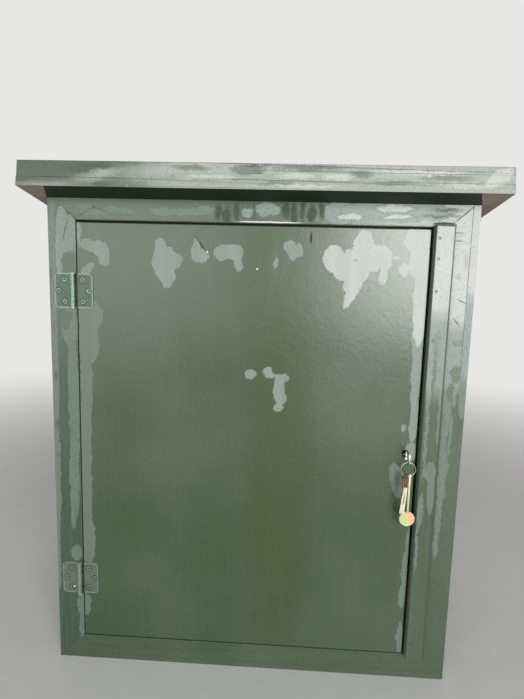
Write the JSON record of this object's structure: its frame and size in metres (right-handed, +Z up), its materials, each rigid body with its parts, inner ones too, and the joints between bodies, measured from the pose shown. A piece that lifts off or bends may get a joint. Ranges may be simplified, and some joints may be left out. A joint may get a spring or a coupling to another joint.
{
  "type": "utility cabinet",
  "caption": "Free-standing wooden utility cabinet with a lean-to roof, mitred front frame, flush door on butt hinges, nailed cover strip and a key in its lock.",
  "frame": {"origin": "centre of the cabinet's base, midway between its sides and between its front and back faces", "axes": "+Z up, +Y from the front to the back, +X to the right as seen from the front"},
  "size_m": [0.662, 0.3727, 0.7739],
  "materials": {
    "green_paint": "dark green gloss brush paint, patched and scuffed",
    "bare_timber": "sawn softwood, bare",
    "painted_hinge": "steel, painted over in green gloss",
    "fixing_steel": "dull steel",
    "lock_steel": "pressed steel, satin",
    "key_steel": "nickelled steel, worn",
    "ring_wire": "bright wire",
    "tab_leather": "brown leather",
    "ribbon_cloth": "cream woven ribbon",
    "strap_plastic": "yellow-green strap",
    "disc_plastic": "two-colour disc, yellow-green and orange"
  },
  "bodies": {
    "cabinet": {"bottom_panel": "green_paint", "back_panel": "green_paint", "back_panel_nails": "fixing_steel", "side_panel_left": "green_paint", "side_panel_right": "green_paint", "side_screws": "fixing_steel", "frame_rail_bottom": "green_paint", "frame_stile_right": "green_paint", "frame_rail_top": "green_paint", "frame_stile_left": "green_paint", "corner_batten_left": "bare_timber", "corner_batten_right": "bare_timber", "roof_batten_left": "bare_timber", "roof_batten_right": "bare_timber", "stop_batten_top": "bare_timber", "stop_batten_bottom": "bare_timber", "lock_post": "green_paint", "keep_batten": "bare_timber", "cover_strip": "green_paint", "strip_nails": "fixing_steel", "roof_front_lath": "green_paint", "roof_liner": "green_paint", "roof_board": "green_paint", "roof_screws": "fixing_steel", "lower_hinge_frame_leaf": "painted_hinge", "lower_hinge_pin": "painted_hinge", "upper_hinge_frame_leaf": "painted_hinge", "upper_hinge_pin": "painted_hinge", "frame_hinge_screws": "painted_hinge", "keep_plate": "lock_steel", "keep_plate_screws": "fixing_steel"},
    "door": {"door_panel": "green_paint", "lower_hinge_door_leaf": "painted_hinge", "upper_hinge_door_leaf": "painted_hinge", "door_hinge_screws": "painted_hinge", "lock_case": "lock_steel", "lock_screws": "fixing_steel"},
    "key": {"key": "key_steel", "lock_follower": "lock_steel"},
    "bolt": {"lock_bolt": "lock_steel"},
    "ring": {"key_ring": "ring_wire", "fob_tab": "tab_leather", "fob_ribbon": "ribbon_cloth", "fob_strap": "strap_plastic", "fob_disc": "disc_plastic"}
  },
  "joints": [
    {"name": "door_swing", "type": "hinge", "parent": "cabinet", "child": "door", "pos_m": [-0.2727, -0.1542, 0.3701], "axis": [0, 0, -1], "range_deg": [0, 175]},
    {"name": "key_turn", "type": "hinge", "parent": "door", "child": "key", "pos_m": [0.2278, -0.15, 0.3701], "axis": [0, 1, 0], "range_deg": [0, 90]},
    {"name": "bolt_slide", "type": "slide", "parent": "door", "child": "bolt", "axis": [1, 0, 0], "range_m": [0, 0.01]},
    {"name": "ring_swing", "type": "hinge", "parent": "key", "child": "ring", "pos_m": [0.2278, -0.1725, 0.3615], "axis": [0, 1, 0], "range_deg": [-90, 0]}
  ],
  "couplings": [
    {"joint": "bolt_slide", "follows": "key_turn", "m_per_rad": 0.006366},
    {"joint": "ring_swing", "follows": "key_turn", "ratio": -1}
  ]
}
